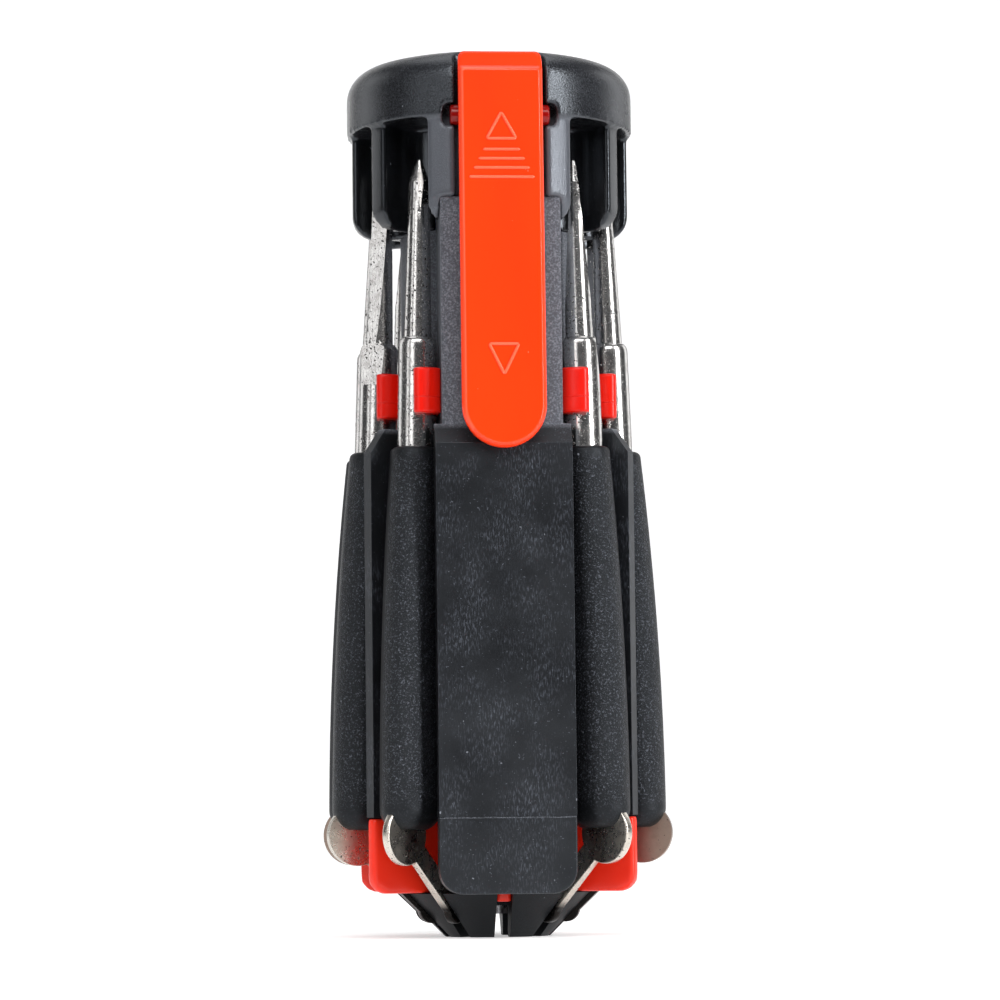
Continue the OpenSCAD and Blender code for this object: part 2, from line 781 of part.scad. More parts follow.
module belt_clip() {
    front = -lug_depth - clip_t;
    color(clip_red) translate([0, -lug_y, lug_z]) rotate([-clip_lean, 0, 0]) {
        hull() {
            translate([0, -lug_depth, 0]) {
                front_plate(clip_t - clip_bevel) clip_outline(0, clip_top - clip_slope_h);
                front_plate(slice_t) clip_outline(0, clip_top);
            }
            translate([0, front + slice_t, 0])
                front_plate(slice_t) clip_outline(clip_bevel, clip_top - clip_slope_h);
        }
        translate([0, front + slice_t, 0]) front_plate(mark_t + slice_t) clip_marks();
        translate([-clip_w / 2, -lug_depth - slice_t, -lug_d / 2])
            cube([clip_w, lug_depth + slice_t, lug_d]);
        rotate([0, 90, 0]) cylinder(d = lug_d, h = clip_w + 2 * lug_l, center = true);
    }
}

// A hub foot under a rib, with its lower outer corner rounded
module foot_outline(r) {
    start = hub_d / 4;
    low = claw_h + foot_relief;
    h = hub_h - 2 * foot_relief;
    translate([start, low]) square([r - foot_round - start, h]);
    translate([start, low + foot_round]) square([r - start, h - foot_round]);
    translate([r - foot_round, low + foot_round]) circle(r = foot_round);
}

// The hub's tongue inside a shoe, with room round it
module tongue(room) {
    front_box(tongue_w + 2 * room, hub_d / 4, tongue_y + room,
        claw_h + tongue_inset - room, hub_top - tongue_inset + room);
}

module hub() {
    color(red) difference() {
        union() {
            translate([0, 0, claw_h]) cylinder(d = hub_d, h = hub_h);
            for (rib = ribs) at_azimuth(rib[0]) radial_plate(rib_t) foot_outline(rib[1]);
            for (a = end_azimuths) at_azimuth(a) {
                tongue(0);
                front_box(key_w, web_r + slot_clear, key_reach_share * claw_top_d,
                    claw_h - key_h, claw_h + key_h);
            }
        }
        hub_screw_hole(hub_screw_d + 2 * running_clear);
    }
}

// Front outline of a shoe, with its lower corners rounded
module shoe_outline() {
    w = panel_w / 2;
    translate([-w, claw_h + shoe_round]) square([panel_w, hub_h - shoe_round]);
    translate([-w + shoe_round, claw_h]) square([panel_w - 2 * shoe_round, hub_h]);
    for (side = [-1, 1]) translate([side * (w - shoe_round), claw_h + shoe_round]) circle(r = shoe_round);
}

module shoe() {
    color(black) difference() {
        intersection() {
            translate([0, 0, claw_h]) linear_extrude(height = hub_h) panel_section(shoe_y);
            front_plate(panel_d) shoe_outline();
        }
        cylinder(d = hub_d + 2 * seat_clear, h = top_z);
        tongue(seat_clear);
        front_box(key_w + 2 * seat_clear, 0, key_reach_share * claw_top_d + seat_clear,
            0, claw_h + key_h + seat_clear);
    }
}

module front_shoe() {
    shoe();
}

module rear_shoe() {
    at_azimuth(180) shoe();
}

// A pivot at the front, along X
module pivot_bar(d, l) {
    cross_bar(d, l, pivot_r, pivot_h);
}

module claw() {
    web_z = claw_h - claw_web_t;
    slot_z = web_z - slot_drop;
    slot_r = wall_share * claw_bore_d / 2;
    color(black) difference() {
        cylinder(d1 = claw_foot_d, d2 = claw_top_d, h = claw_h);
        translate([0, 0, -cut]) cylinder(d = claw_bore_d, h = web_z + cut);
        hub_screw_hole(hub_screw_d + 2 * running_clear);
        for (a = driver_azimuths) at_azimuth(a) {
            front_box(arm_slot_w, slot_r, claw_top_d, -cut, slot_z);
            front_box(arm_slot_w, web_r, claw_top_d, -cut, claw_h + cut);
            pivot_bar(pin_d + 2 * seat_clear, pin_l + 2 * seat_clear);
        }
        for (a = end_azimuths) at_azimuth(a) {
            front_box(key_slot_w, slot_r, claw_top_d, -cut, slot_z);
            front_box(key_slot_w, web_r, claw_top_d, -cut, claw_h + cut);
        }
    }
}

module pivot_pins() {
    color(steel) for (a = driver_azimuths) at_azimuth(a) pivot_bar(pin_d, pin_l);
}

module hub_screw() {
    color(steel) translate([0, 0, hub_head_z]) {
        cylinder(d = hub_head_d, h = hub_head_h);
        cylinder(d = hub_screw_d, h = hub_top + floor_t + hub_screw_grip - hub_head_z - seat_clear);
    }
}

module head_screws() {
    z_low = box_z - head_screw_grip + seat_clear;
    color(steel) {
        head_screw_holes(head_screw_d, z_low, chamber_z - running_clear);
        head_screw_holes(head_head_d, chamber_z - head_head_h, chamber_z - running_clear);
    }
}

// One level of a grip: two round sides, which the hull joins
module grip_slice(reach, z, inset) {
    d = grip_w - 2 * inset;
    translate([0, 0, z]) linear_extrude(height = slice_t) {
        translate([0, grip_inner_reach - grip_w / 2]) circle(d = d, $fn = hull_fn);
        translate([0, grip_w / 2 - reach]) circle(d = d, $fn = hull_fn);
    }
}

module grip_form() {
    hull() {
        for (a = foot_angles)
            grip_slice(grip_foot_reach, grip_foot_round * (cos(foot_angles[0]) - cos(a)),
                grip_foot_round * (1 - sin(a)));
        grip_slice(grip_mid_reach, grip_mid_share * grip_l, 0);
        grip_slice(grip_top_reach, grip_l - grip_round, 0);
        grip_slice(grip_top_reach, grip_l - slice_t, grip_round);
    }
}

module tang(room) {
    translate([-arm_t / 2 - room, -tang_w / 2 - room, -lobe_drop])
        cube([arm_t + 2 * room, tang_w + 2 * room, lobe_drop + tang_l + room]);
}

module grip(i) {
    color(black) at_azimuth(driver_azimuth(i)) difference() {
        on_driver_axis() grip_form();
        radial_plate(arm_t + 2 * seat_clear)
            translate([lobe_x, lobe_z]) circle(d = lobe_d + 2 * seat_clear);
        on_driver_axis() {
            tang(seat_clear);
            translate([0, 0, grip_l - shank_hold - seat_clear])
                cylinder(d = shank_d + 2 * seat_clear, h = grip_l);
        }
    }
}

// Profile of a shank from its held end to its tip, with a rounded shoulder
module shank_profile(tip_d) {
    l = (tip_z - grip_z) / cos(lean);
    shoulder = (shoulder_z - grip_z) / cos(lean);
    low = grip_l - shank_hold;
    round_w = (shank_d - neck_d) / 2;
    arc_steps = 6;
    arc = [
        for (k = [0 : arc_steps])
            let (a = 90 * k / arc_steps) [neck_d / 2 + round_w * cos(a), shoulder + shoulder_h * sin(a)]
    ];
    polygon(concat(
        [[0, low], [shank_d / 2, low]], arc,
        [[tip_d / 2, l - cone_share * tip_d], [point_share * tip_d / 2, l], [0, l]]
    ));
}

// A tool that cuts one side of a tip, from its depth at the tip out to nothing at its length
module tip_cut(depth, l, tip_d, turn) {
    tilt = atan((tip_d / 2 - depth) / l);
    w = 2 * tip_d;
    translate([0, -depth, (tip_z - grip_z) / cos(lean)]) rotate([-tilt, 0, 0]) rotate([0, 0, turn])
        translate([turn == 0 ? -w / 2 : 0, turn == 0 ? -w : 0, -2 * l]) cube([w, w, 2 * l + cut]);
}

// A shank. Cross and slotted tips follow each other, with a cross tip in front on the left.
module shank(i) {
    tip_d = tip_ds[i % side_count];
    crossed = (i % side_count + (i < side_count ? 0 : 1)) % 2 == 0;
    color(chrome) at_azimuth(driver_azimuth(i)) on_driver_axis() difference() {
        rotate_extrude() shank_profile(tip_d);
        if (crossed)
            for (k = [0 : 3])
                rotate([0, 0, 45 + 90 * k]) tip_cut(flute_core_share * tip_d / 2, flute_l, tip_d, 180 + 45);
        else
            for (k = [0, 1])
                rotate([0, 0, blade_spin + 180 * k]) tip_cut(blade_t / 2, blade_l, tip_d, 0);
    }
}

module arm_outline() {
    difference() {
        union() {
            translate([pivot_r, pivot_h]) circle(d = eye_d);
            translate([lobe_x, lobe_z]) circle(d = lobe_d);
            translate([pivot_r, pivot_h]) rotate(arm_angle)
                translate([0, -arm_w / 2]) square([arm_l, arm_w]);
        }
        translate([pivot_r, pivot_h]) circle(d = pin_d + 2 * running_clear);
    }
}

module arm(i) {
    color(nickel) at_azimuth(driver_azimuth(i)) {
        radial_plate(arm_t) arm_outline();
        on_driver_axis() tang(0);
    }
}

body();
head_cup();
lens();
reflector();
led_board();
leds();
battery_carrier();
cell(0);  // cell_1
cell(1);  // cell_2
cell(2);  // cell_3
cell_links();
contact_plate();
contact_leaf();
switch_body();
switch_button();
clip_bank(-1);  // clip_bank_left
clip_bank(1);  // clip_bank_right
belt_clip();
hub();
front_shoe();
rear_shoe();
claw();
pivot_pins();
hub_screw();
head_screws();
for (i = [0 : 2 * side_count - 1]) {
    name = str("driver_", i + 1);
    grip(i);
    shank(i);
    arm(i);
}
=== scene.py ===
"""Folding multi-screwdriver: materials, fine pieces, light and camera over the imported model."""
import math

import bmesh
import bpy
from mathutils import Matrix, Vector


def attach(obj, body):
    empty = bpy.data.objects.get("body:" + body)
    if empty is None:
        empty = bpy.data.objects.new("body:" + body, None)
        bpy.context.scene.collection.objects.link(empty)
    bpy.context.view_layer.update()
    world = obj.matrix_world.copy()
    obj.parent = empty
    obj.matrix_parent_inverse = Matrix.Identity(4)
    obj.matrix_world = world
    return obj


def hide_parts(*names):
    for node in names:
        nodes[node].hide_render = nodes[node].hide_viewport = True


MM = 0.001

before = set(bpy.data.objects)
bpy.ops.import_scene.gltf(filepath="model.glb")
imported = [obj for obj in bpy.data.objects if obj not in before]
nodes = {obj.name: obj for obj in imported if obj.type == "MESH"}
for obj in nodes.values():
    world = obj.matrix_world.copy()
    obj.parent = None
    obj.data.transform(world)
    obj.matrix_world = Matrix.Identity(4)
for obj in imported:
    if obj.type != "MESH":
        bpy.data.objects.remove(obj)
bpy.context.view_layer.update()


# Node helpers. Places are object coordinates in metres, and a noise scale counts cycles per metre.


def new_material(name):
    made = bpy.data.materials.new(name)
    made.use_nodes = True
    return made, made.node_tree, made.node_tree.nodes["Principled BSDF"]


def feed(tree, node, inputs):
    """Links the sockets among the inputs to the node, and sets the other values on it."""
    for key, value in inputs.items():
        if isinstance(value, bpy.types.NodeSocket):
            tree.links.new(value, node.inputs[key])
        else:
            node.inputs[key].default_value = value


def add(tree, kind, inputs=None, **settings):
    node = tree.nodes.new(kind)
    for key, value in settings.items():
        setattr(node, key, value)
    feed(tree, node, inputs or {})
    return node


def place(tree, scale=(1, 1, 1), turn=(0, 0, 0)):
    """Object coordinates, stretched by a scale and turned."""
    coordinates = add(tree, "ShaderNodeTexCoord")
    return add(tree, "ShaderNodeMapping", {
        "Vector": coordinates.outputs["Object"], "Scale": scale, "Rotation": turn,
    }).outputs["Vector"]


def axis(tree, at, letter):
    return add(tree, "ShaderNodeSeparateXYZ", {"Vector": at}).outputs[letter]


def attribute(tree, name):
    return add(tree, "ShaderNodeAttribute", attribute_name=name).outputs["Fac"]


def noise(tree, at, scale, detail=2.0, rough=0.5, distortion=0.0):
    return add(tree, "ShaderNodeTexNoise", {
        "Vector": at, "Scale": scale, "Detail": detail, "Roughness": rough, "Distortion": distortion,
    }).outputs["Fac"]


def ramp(tree, value, low, high, out_low=0.0, out_high=1.0):
    """A value between low and high, remapped and clamped."""
    return add(tree, "ShaderNodeMapRange", {
        "Value": value, "From Min": low, "From Max": high, "To Min": out_low, "To Max": out_high,
    }).outputs["Result"]


def maths(tree, operation, a, b):
    return add(tree, "ShaderNodeMath", {0: a, 1: b}, operation=operation).outputs["Value"]


def plus(tree, a, b):
    return maths(tree, "ADD", a, b)


def minus(tree, a, b):
    return maths(tree, "SUBTRACT", a, b)


def times(tree, a, b):
    return maths(tree, "MULTIPLY", a, b)


def line_at(tree, height, level, widths):
    """1 near a level and 0 away from it, by the half widths where the line is full and where it ends."""
    full, end = widths
    off = maths(tree, "ABSOLUTE", minus(tree, height, level), 0)
    return ramp(tree, off, full, end, 1, 0)


def blend_colour(tree, share, a, b):
    mix = add(tree, "ShaderNodeMix", {"Factor": share, "A": a, "B": b}, data_type="RGBA")
    return next(o for o in mix.outputs if o.type == "RGBA")


def bump(tree, height, distance, strength=1.0, under=None):
    inputs = {"Height": height, "Distance": distance, "Strength": strength}
    if under is not None:
        inputs["Normal"] = under
    return add(tree, "ShaderNodeBump", inputs).outputs["Normal"]


# Materials: one function for each kind of finish

# Black plastic: how far its greys lean to blue, its reflections, its greys and its gloss
GREEN_LEAN, BLUE_LEAN = 0.06, 0.22
COOL, VERY_COOL = 1.4, 1.6
SHEEN = (0.84, 0.91, 1, 1)
BOX_TONE, FLASH_TONE, SCUFF_TONE, DUST_TONE, SPECK_TONE = 0.13, 0.13, 0.08, 0.09, 0.16
# Greys of the grips: dark, light, the painted glint on the grain's tops, and specks
GRIP_DARK, GRIP_LIGHT, GRIP_GLINT, GRIP_SPECK = 0.003, 0.006, 0.085, 0.2
GRIP_GLOSS, RED_GLOSS = 0.26, 0.32
# Colours on the red plastic and the plating: the clip's painted highlight, specks and pits of wear, and
# the painted shade low on the arms
CLIP_PAINTED_HIGHLIGHT = (1, 0.2, 0.1, 1)
RED_SPECK = (1, 0.45, 0.3, 1)
PIT = (0.03, 0.028, 0.026, 1)
UNDER_SHADE = (0.02, 0.018, 0.017, 1)
# Stretch of the lengthwise marks, and the slant of the scuffs
SCUFF_STRETCH, FLOW_STRETCH, DRAWN_STRETCH = (1, 1, 0.22), (1, 1, 0.25), (1, 1, 0.03)
SCUFF_SLANT = (0, math.radians(14), 0)
# Soft borders between finishes, and the half widths of thin lines where they are full and where they end
TEXTURE_SOFT_Z, TEXTURE_SOFT_Y, UNDER_SHADE_SOFT = 0.4 * MM, 0.3 * MM, 0.6 * MM
FLASH_LINE, PARTING_LINE = (0.04 * MM, 0.12 * MM), (0.05 * MM, 0.13 * MM)
FLASH_WAVE = 0.2 * MM
# Depths of the bumps
DENT_DEPTH, GRIP_DEPTH, FLOW_DEPTH, PARTING_DEPTH = 0.02 * MM, 0.22 * MM, 0.008 * MM, 0.08 * MM
PIT_DEPTH, PEEL_DEPTH, PLAIN_DEPTH = 0.06 * MM, 0.03 * MM, 0.01 * MM


def grey(value, cool=1.0):
    """A grey that leans to blue, as the black plastic does."""
    return (value, value * (1 + GREEN_LEAN * cool), value * (1 + BLUE_LEAN * cool), 1)


def black_plastic(name, base, grain, polish, scuffs, gloss=0.5, texture_z=None, texture_y=None,
                  flash_z=None, pale=0.03):
    """Charcoal moulding: fine grain, soft patches of polish, lengthwise scuffs and pale specks.

    Above texture_z, and in front of texture_y where it is given, the moulding is textured: paler,
    rougher and with a coarser grain. What is in front but not above is paler still: the box behind
    the clip. At flash_z a thin line of pale flash marks a joint."""
    made, tree, shader = new_material(name)
    at = place(tree)
    along = place(tree, SCUFF_STRETCH, SCUFF_SLANT)
    patches = noise(tree, at, scale=130, detail=3)
    fine = noise(tree, at, scale=5200)
    streaks = ramp(tree, noise(tree, along, scale=5200, rough=0.6), 0.5, 0.75)
    blotches = ramp(tree, noise(tree, at, scale=150), 0.4, 0.64)
    scuff = times(tree, times(tree, streaks, blotches), scuffs)
    specks = ramp(tree, noise(tree, at, scale=1500, detail=1), 0.785, 0.83)
    dust = ramp(tree, noise(tree, at, scale=3400, detail=1), 0.7, 0.8)
    tone = blend_colour(tree, ramp(tree, patches, 0.3, 0.7), grey(base * 0.86), grey(base * 1.16))
    rough = plus(tree, ramp(tree, patches, 0.25, 0.75, polish - 0.06, polish + 0.08),
                 times(tree, scuff, 0.18))
    height = fine
    if texture_z is not None:
        shown = ramp(tree, axis(tree, at, "Z"), texture_z - TEXTURE_SOFT_Z, texture_z + TEXTURE_SOFT_Z)
        coarse = noise(tree, at, scale=4200, rough=0.6)
        textured = blend_colour(tree, ramp(tree, coarse, 0.45, 0.7), grey(pale * 0.35), grey(pale))
        if texture_y is not None:
            ahead = ramp(tree, axis(tree, at, "Y"), texture_y - TEXTURE_SOFT_Y,
                         texture_y + TEXTURE_SOFT_Y, 1, 0)
            box = times(tree, ahead, minus(tree, 1.0, shown))
            textured = blend_colour(tree, times(tree, box, 0.5), textured, grey(BOX_TONE))
            shown = maths(tree, "MAXIMUM", shown, ahead)
        tone = blend_colour(tree, shown, tone, textured)
        rough = plus(tree, rough, times(tree, shown, 0.05))
        height = plus(tree, fine, times(tree, times(tree, coarse, shown), 1.8))
    if flash_z is not None:
        wave = times(tree, noise(tree, at, scale=500, detail=1), FLASH_WAVE)
        joint = line_at(tree, plus(tree, axis(tree, at, "Z"), wave), flash_z, FLASH_LINE)
        flash = times(tree, joint, ramp(tree, fine, 0.42, 0.6))
        tone = blend_colour(tree, flash, tone, grey(FLASH_TONE))
    tone = blend_colour(tree, scuff, tone, grey(SCUFF_TONE, VERY_COOL))
    tone = blend_colour(tree, times(tree, dust, scuffs), tone, grey(DUST_TONE, COOL))
    dents = bump(tree, noise(tree, at, scale=900, detail=3), DENT_DEPTH, 0.35)
    feed(tree, shader, {
        "Base Color": blend_colour(tree, specks, tone, grey(SPECK_TONE)), "Roughness": rough,
        "Normal": bump(tree, height, grain, 0.55, dents),
        "Specular IOR Level": gloss, "Specular Tint": SHEEN,
    })
    return made


def grip_plastic(name):
    """Spark-eroded grips: coarse sparkling grain whose tops are painted paler as glints, with smooth
    strips where the attribute says so.
    """
    made, tree, shader = new_material(name)
    at = place(tree)
    grained = attribute(tree, "grain")
    patches = noise(tree, at, scale=160)
    coarse = noise(tree, at, scale=3300, rough=0.7)
    fine = noise(tree, at, scale=6400, detail=1, rough=0.6)
    both = plus(tree, coarse, times(tree, fine, 0.6))
    # Painted glints: the grain's tops made paler
    glints = times(tree, ramp(tree, both, 0.86, 1.04), grained)
    specks = ramp(tree, noise(tree, at, scale=1700, detail=1), 0.79, 0.83)
    tone = blend_colour(tree, ramp(tree, patches, 0.3, 0.7), grey(GRIP_DARK), grey(GRIP_LIGHT))
    raised = blend_colour(tree, glints, tone, grey(GRIP_GLINT, COOL))
    feed(tree, shader, {
        "Base Color": blend_colour(tree, specks, raised, grey(GRIP_SPECK)),
        "Roughness": ramp(tree, grained, 0, 1, 0.46, 0.38),
        "Normal": bump(tree, times(tree, both, grained), GRIP_DEPTH, 0.9),
        "Specular IOR Level": GRIP_GLOSS, "Specular Tint": SHEEN,
    })
    return made


def red_plastic(name, base, dark, polish, line_z=None, painted_lug_shade=None):
    """Glossy red moulding, with flow marks and a few specks. The spring clips have a parting line at
    line_z. On the belt clip, attributes paint a paler highlight on its front edge and raised marks, and
    painted shade on its lugs, in the dark colour given for it."""
    made, tree, shader = new_material(name)
    at = place(tree)
    along = place(tree, FLOW_STRETCH)
    flow = noise(tree, along, scale=120, rough=0.4, distortion=0.3)
    specks = ramp(tree, noise(tree, at, scale=1500, detail=1), 0.8, 0.84)
    tone = blend_colour(tree, ramp(tree, flow, 0.3, 0.7), base, dark)
    fine = noise(tree, at, scale=5000, detail=1)
    height = plus(tree, noise(tree, at, scale=420), times(tree, fine, 0.12))
    normal = bump(tree, height, FLOW_DEPTH, 0.5)
    if painted_lug_shade is not None:
        # Painted highlight: the clip's front edge and raised marks made paler
        tone = blend_colour(tree, attribute(tree, "painted_highlight"), tone, CLIP_PAINTED_HIGHLIGHT)
        # Painted shade: the lugs darkened, as they sit in shade inside the windows
        tone = blend_colour(tree, attribute(tree, "painted_lug_shade"), tone, painted_lug_shade)
    if line_z is not None:
        line = line_at(tree, axis(tree, at, "Z"), line_z, PARTING_LINE)
        tone = blend_colour(tree, times(tree, line, 0.45), tone, dark)
        normal = bump(tree, line, PARTING_DEPTH, 0.8, normal)
    feed(tree, shader, {
        "Base Color": blend_colour(tree, times(tree, specks, 0.35), tone, RED_SPECK),
        "Roughness": ramp(tree, flow, 0.25, 0.75, polish - 0.015, polish + 0.02),
        "Normal": normal, "Specular IOR Level": RED_GLOSS,
    })
    return made


def plated(name, base, stain, polish, pits, lines, dark_z=None):
    """Plated metal: lengthwise polishing lines, dark pits in clusters and a faint stain. Below dark_z
    it is painted dark, as painted shade near the floor."""
    made, tree, shader = new_material(name)
    at = place(tree)
    along = place(tree, DRAWN_STRETCH)
    clusters = ramp(tree, noise(tree, at, scale=110), 0.42, 0.66, 0.02, 0.09)
    spots = noise(tree, at, scale=3000, detail=1, rough=0.4)
    pit = ramp(tree, plus(tree, spots, clusters), 0.755 - pits, 0.8 - pits)
    stains = ramp(tree, noise(tree, at, scale=700, detail=4, rough=0.7), 0.45, 0.75)
    drawn = noise(tree, along, scale=3800, detail=3, rough=0.6)
    tone = blend_colour(tree, times(tree, stains, 0.55), base, stain)
    if dark_z is not None:
        # Painted shade: the metal darkened below dark_z, near the floor
        shaded_below = ramp(tree, axis(tree, at, "Z"), dark_z - UNDER_SHADE_SOFT, dark_z + UNDER_SHADE_SOFT, 1, 0)
        tone = blend_colour(tree, shaded_below, tone, UNDER_SHADE)
    sunk = bump(tree, minus(tree, 1.0, pit), PIT_DEPTH, 0.8)
    peel = bump(tree, noise(tree, at, scale=4600, rough=0.6), PEEL_DEPTH, 0.5, sunk)
    feed(tree, shader, {
        "Base Color": blend_colour(tree, pit, tone, PIT),
        "Roughness": plus(tree, ramp(tree, stains, 0, 1, polish, polish + 0.1), times(tree, pit, 0.45)),
        "Normal": bump(tree, drawn, lines, 0.5, peel), "Metallic": 1.0,
    })
    return made


def plain_finish(name, light, dark, rough, metal=0.0, scale=400, through=0.0):
    """A quiet finish for the inner pieces: two tones, a soft noise and a fine bump."""
    made, tree, shader = new_material(name)
    at = place(tree)
    mottle = noise(tree, at, scale, detail=3)
    fine = noise(tree, at, scale * 9)
    feed(tree, shader, {
        "Base Color": blend_colour(tree, ramp(tree, mottle, 0.3, 0.7), light, dark),
        "Roughness": ramp(tree, mottle, 0.25, 0.75, rough * 0.8, rough * 1.2),
        "Normal": bump(tree, fine, PLAIN_DEPTH, 0.4),
        "Metallic": metal, "Transmission Weight": through,
    })
    return made


# Heights where a finish changes, and the plane that the head's box stands in front of
COLUMN_Z, SHOE_JOINT_Z, RIM_Z, BANK_LINE_Z = 72.2 * MM, 17.1 * MM, 116.7 * MM, 76.6 * MM
# Below these heights the arms' plating gets painted shade, at the front and at the sides
FRONT_SHADE_Z, SIDE_SHADE_Z = 4.7 * MM, 7.2 * MM
BOX_Y = -16.5 * MM
BRIGHT_NICKEL = {
    "base": (0.62, 0.58, 0.52, 1), "stain": (0.42, 0.37, 0.31, 1), "polish": 0.27, "lines": 0.006 * MM,
}
FINISHES = (
    ("black_plastic", black_plastic, {"base": 0.008, "grain": 0.03 * MM, "polish": 0.32, "scuffs": 0.3}),
    ("panel_plastic", black_plastic, {
        "base": 0.008, "grain": 0.02 * MM, "polish": 0.34, "scuffs": 0.8, "gloss": 0.4,
        "texture_z": COLUMN_Z, "flash_z": SHOE_JOINT_Z, "pale": 0.2}),
    # The head is textured and paler above RIM_Z; the dark plain moulding below is painted shade under
    # the rim's overhang as well as a real change of texture
    ("head_plastic", black_plastic, {
        "base": 0.004, "grain": 0.04 * MM, "polish": 0.17, "scuffs": 0.1,
        "texture_z": RIM_Z, "texture_y": BOX_Y}),
    # A darker copy of the black plastic for the claw: painted shade at the base
    ("claw_plastic", black_plastic, {
        "base": 0.004, "grain": 0.03 * MM, "polish": 0.42, "scuffs": 0.1, "gloss": 0.2}),
    ("grip_plastic", grip_plastic, {}),
    # The spring clips' red is darker than the hub's: painted shade, as the clip banks sit in shade
    ("red_plastic", red_plastic, {
        "base": (0.72, 0.01, 0.002, 1), "dark": (0.62, 0.006, 0.001, 1), "polish": 0.3,
        "line_z": BANK_LINE_Z}),
    ("hub_plastic", red_plastic, {
        "base": (0.86, 0.03, 0.01, 1), "dark": (0.78, 0.02, 0.006, 1), "polish": 0.3}),
    ("clip_plastic", red_plastic, {
        "base": (0.95, 0.042, 0.004, 1), "dark": (0.93, 0.036, 0.003, 1), "polish": 0.2,
        # Last comes the dark red of the painted shade on the lugs
        "painted_lug_shade": (0.22, 0.003, 0.002, 1)}),
    ("chrome", plated, {
        "base": (0.6, 0.59, 0.58, 1), "stain": (0.36, 0.34, 0.32, 1), "polish": 0.19, "pits": 0.05,
        "lines": 0.01 * MM}),
    ("nickel", plated, {**BRIGHT_NICKEL, "pits": -0.01, "dark_z": FRONT_SHADE_Z}),
    ("side_nickel", plated, {**BRIGHT_NICKEL, "pits": 0.02, "dark_z": SIDE_SHADE_Z}),
    # A darker copy of the nickel for arms 3, 6 and 7: painted shade
    ("shaded_nickel", plated, {
        "base": (0.3, 0.23, 0.19, 1), "stain": (0.2, 0.15, 0.12, 1), "polish": 0.34, "pits": 0.0,
        "lines": 0.006 * MM, "dark_z": SIDE_SHADE_Z}),
    ("steel", plain_finish, {
        "light": (0.5, 0.5, 0.52, 1), "dark": (0.36, 0.36, 0.38, 1), "rough": 0.3, "metal": 1.0}),
    ("lens", plain_finish, {
        "light": (0.95, 0.97, 0.98, 1), "dark": (0.9, 0.93, 0.95, 1), "rough": 0.05, "scale": 300,
        "through": 1.0}),
    ("reflector", plain_finish, {
        "light": (0.85, 0.86, 0.88, 1), "dark": (0.74, 0.75, 0.78, 1), "rough": 0.12, "metal": 1.0}),
    ("board", plain_finish, {
        "light": (0.02, 0.16, 0.05, 1), "dark": (0.015, 0.1, 0.035, 1), "rough": 0.45}),
    ("led", plain_finish, {
        "light": (0.93, 0.94, 0.9, 1), "dark": (0.85, 0.87, 0.8, 1), "rough": 0.12, "scale": 500,
        "through": 0.35}),
    ("cell", plain_finish, {
        "light": (0.12, 0.2, 0.42, 1), "dark": (0.08, 0.14, 0.32, 1), "rough": 0.3}),
    ("contact", plain_finish, {
        "light": (0.7, 0.52, 0.24, 1), "dark": (0.56, 0.4, 0.17, 1), "rough": 0.3, "metal": 1.0}),
)
finish = {name: make(name, **settings) for name, make, settings in FINISHES}


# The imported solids: soft edges as modifiers, and a finish each

PER_SIDE = 4
DRIVERS = range(1, 2 * PER_SIDE + 1)
ARM_EDGE = 0.28
# Arms 3, 6 and 7 wear a darker copy of the nickel, painted shade; arm 2's painted shade reaches higher
# up
ARM_FINISH = {2: "side_nickel", 3: "shaded_nickel", 6: "shaded_nickel", 7: "shaded_nickel"}
# Width of the rounded edges, in mm
EDGE = {
    "body": 0.3, "front_shoe": 0.7, "rear_shoe": 0.7, "claw": 0.22, "switch_button": 0.35,
}
# Step of the skin in mm, and its rounds of smoothing
SKIN = {
    "head_cup": (0.42, 2), "hub": (0.34, 8), "clip_bank_left": (0.24, 5), "clip_bank_right": (0.24, 5),
}
FINISH = {
    "body": "panel_plastic", "head_cup": "head_plastic", "front_shoe": "panel_plastic",
    "rear_shoe": "panel_plastic", "claw": "claw_plastic", "hub": "hub_plastic",
    "clip_bank_left": "red_plastic", "clip_bank_right": "red_plastic", "switch_button": "red_plastic",
    "lens": "lens", "reflector": "reflector", "led_board": "board", "leds": "led",
    "battery_carrier": "black_plastic", "cell_1": "cell", "cell_2": "cell", "cell_3": "cell",
    "cell_links": "contact", "contact_plate": "contact", "contact_leaf": "contact",
    "switch_body": "black_plastic", "pivot_pins": "steel", "hub_screw": "steel", "head_screws": "steel",
    "belt_clip": "clip_plastic",
}
for n in DRIVERS:
    FINISH["driver_%d_grip" % n] = "grip_plastic"
    FINISH["driver_%d_shank" % n] = "chrome"
    FINISH["driver_%d_arm" % n] = ARM_FINISH.get(n, "nickel")
    EDGE["driver_%d_arm" % n] = ARM_EDGE

JOIN_DISTANCE = 0.001 * MM
FLAT_ANGLE, BEVEL_ANGLE = math.radians(0.6), math.radians(34)
BEVEL_STEPS, FACE_WEIGHT = 3, 80
SMOOTH_SHARE = 0.5


def wear(obj, material):
    obj.data.materials.clear()
    obj.data.materials.append(material)


def join_faces(obj):
    join = obj.modifiers.new("join", "WELD")
    join.merge_threshold = JOIN_DISTANCE


def mould(obj, step, rounds):
    """Gives the solid one even skin with soft edges, as a moulding has."""
    join_faces(obj)
    skin = obj.modifiers.new("skin", "REMESH")
    skin.mode = "VOXEL"
    skin.voxel_size = step * MM
    skin.use_smooth_shade = True
    ease = obj.modifiers.new("ease", "SMOOTH")
    ease.factor = SMOOTH_SHARE
    ease.iterations = rounds


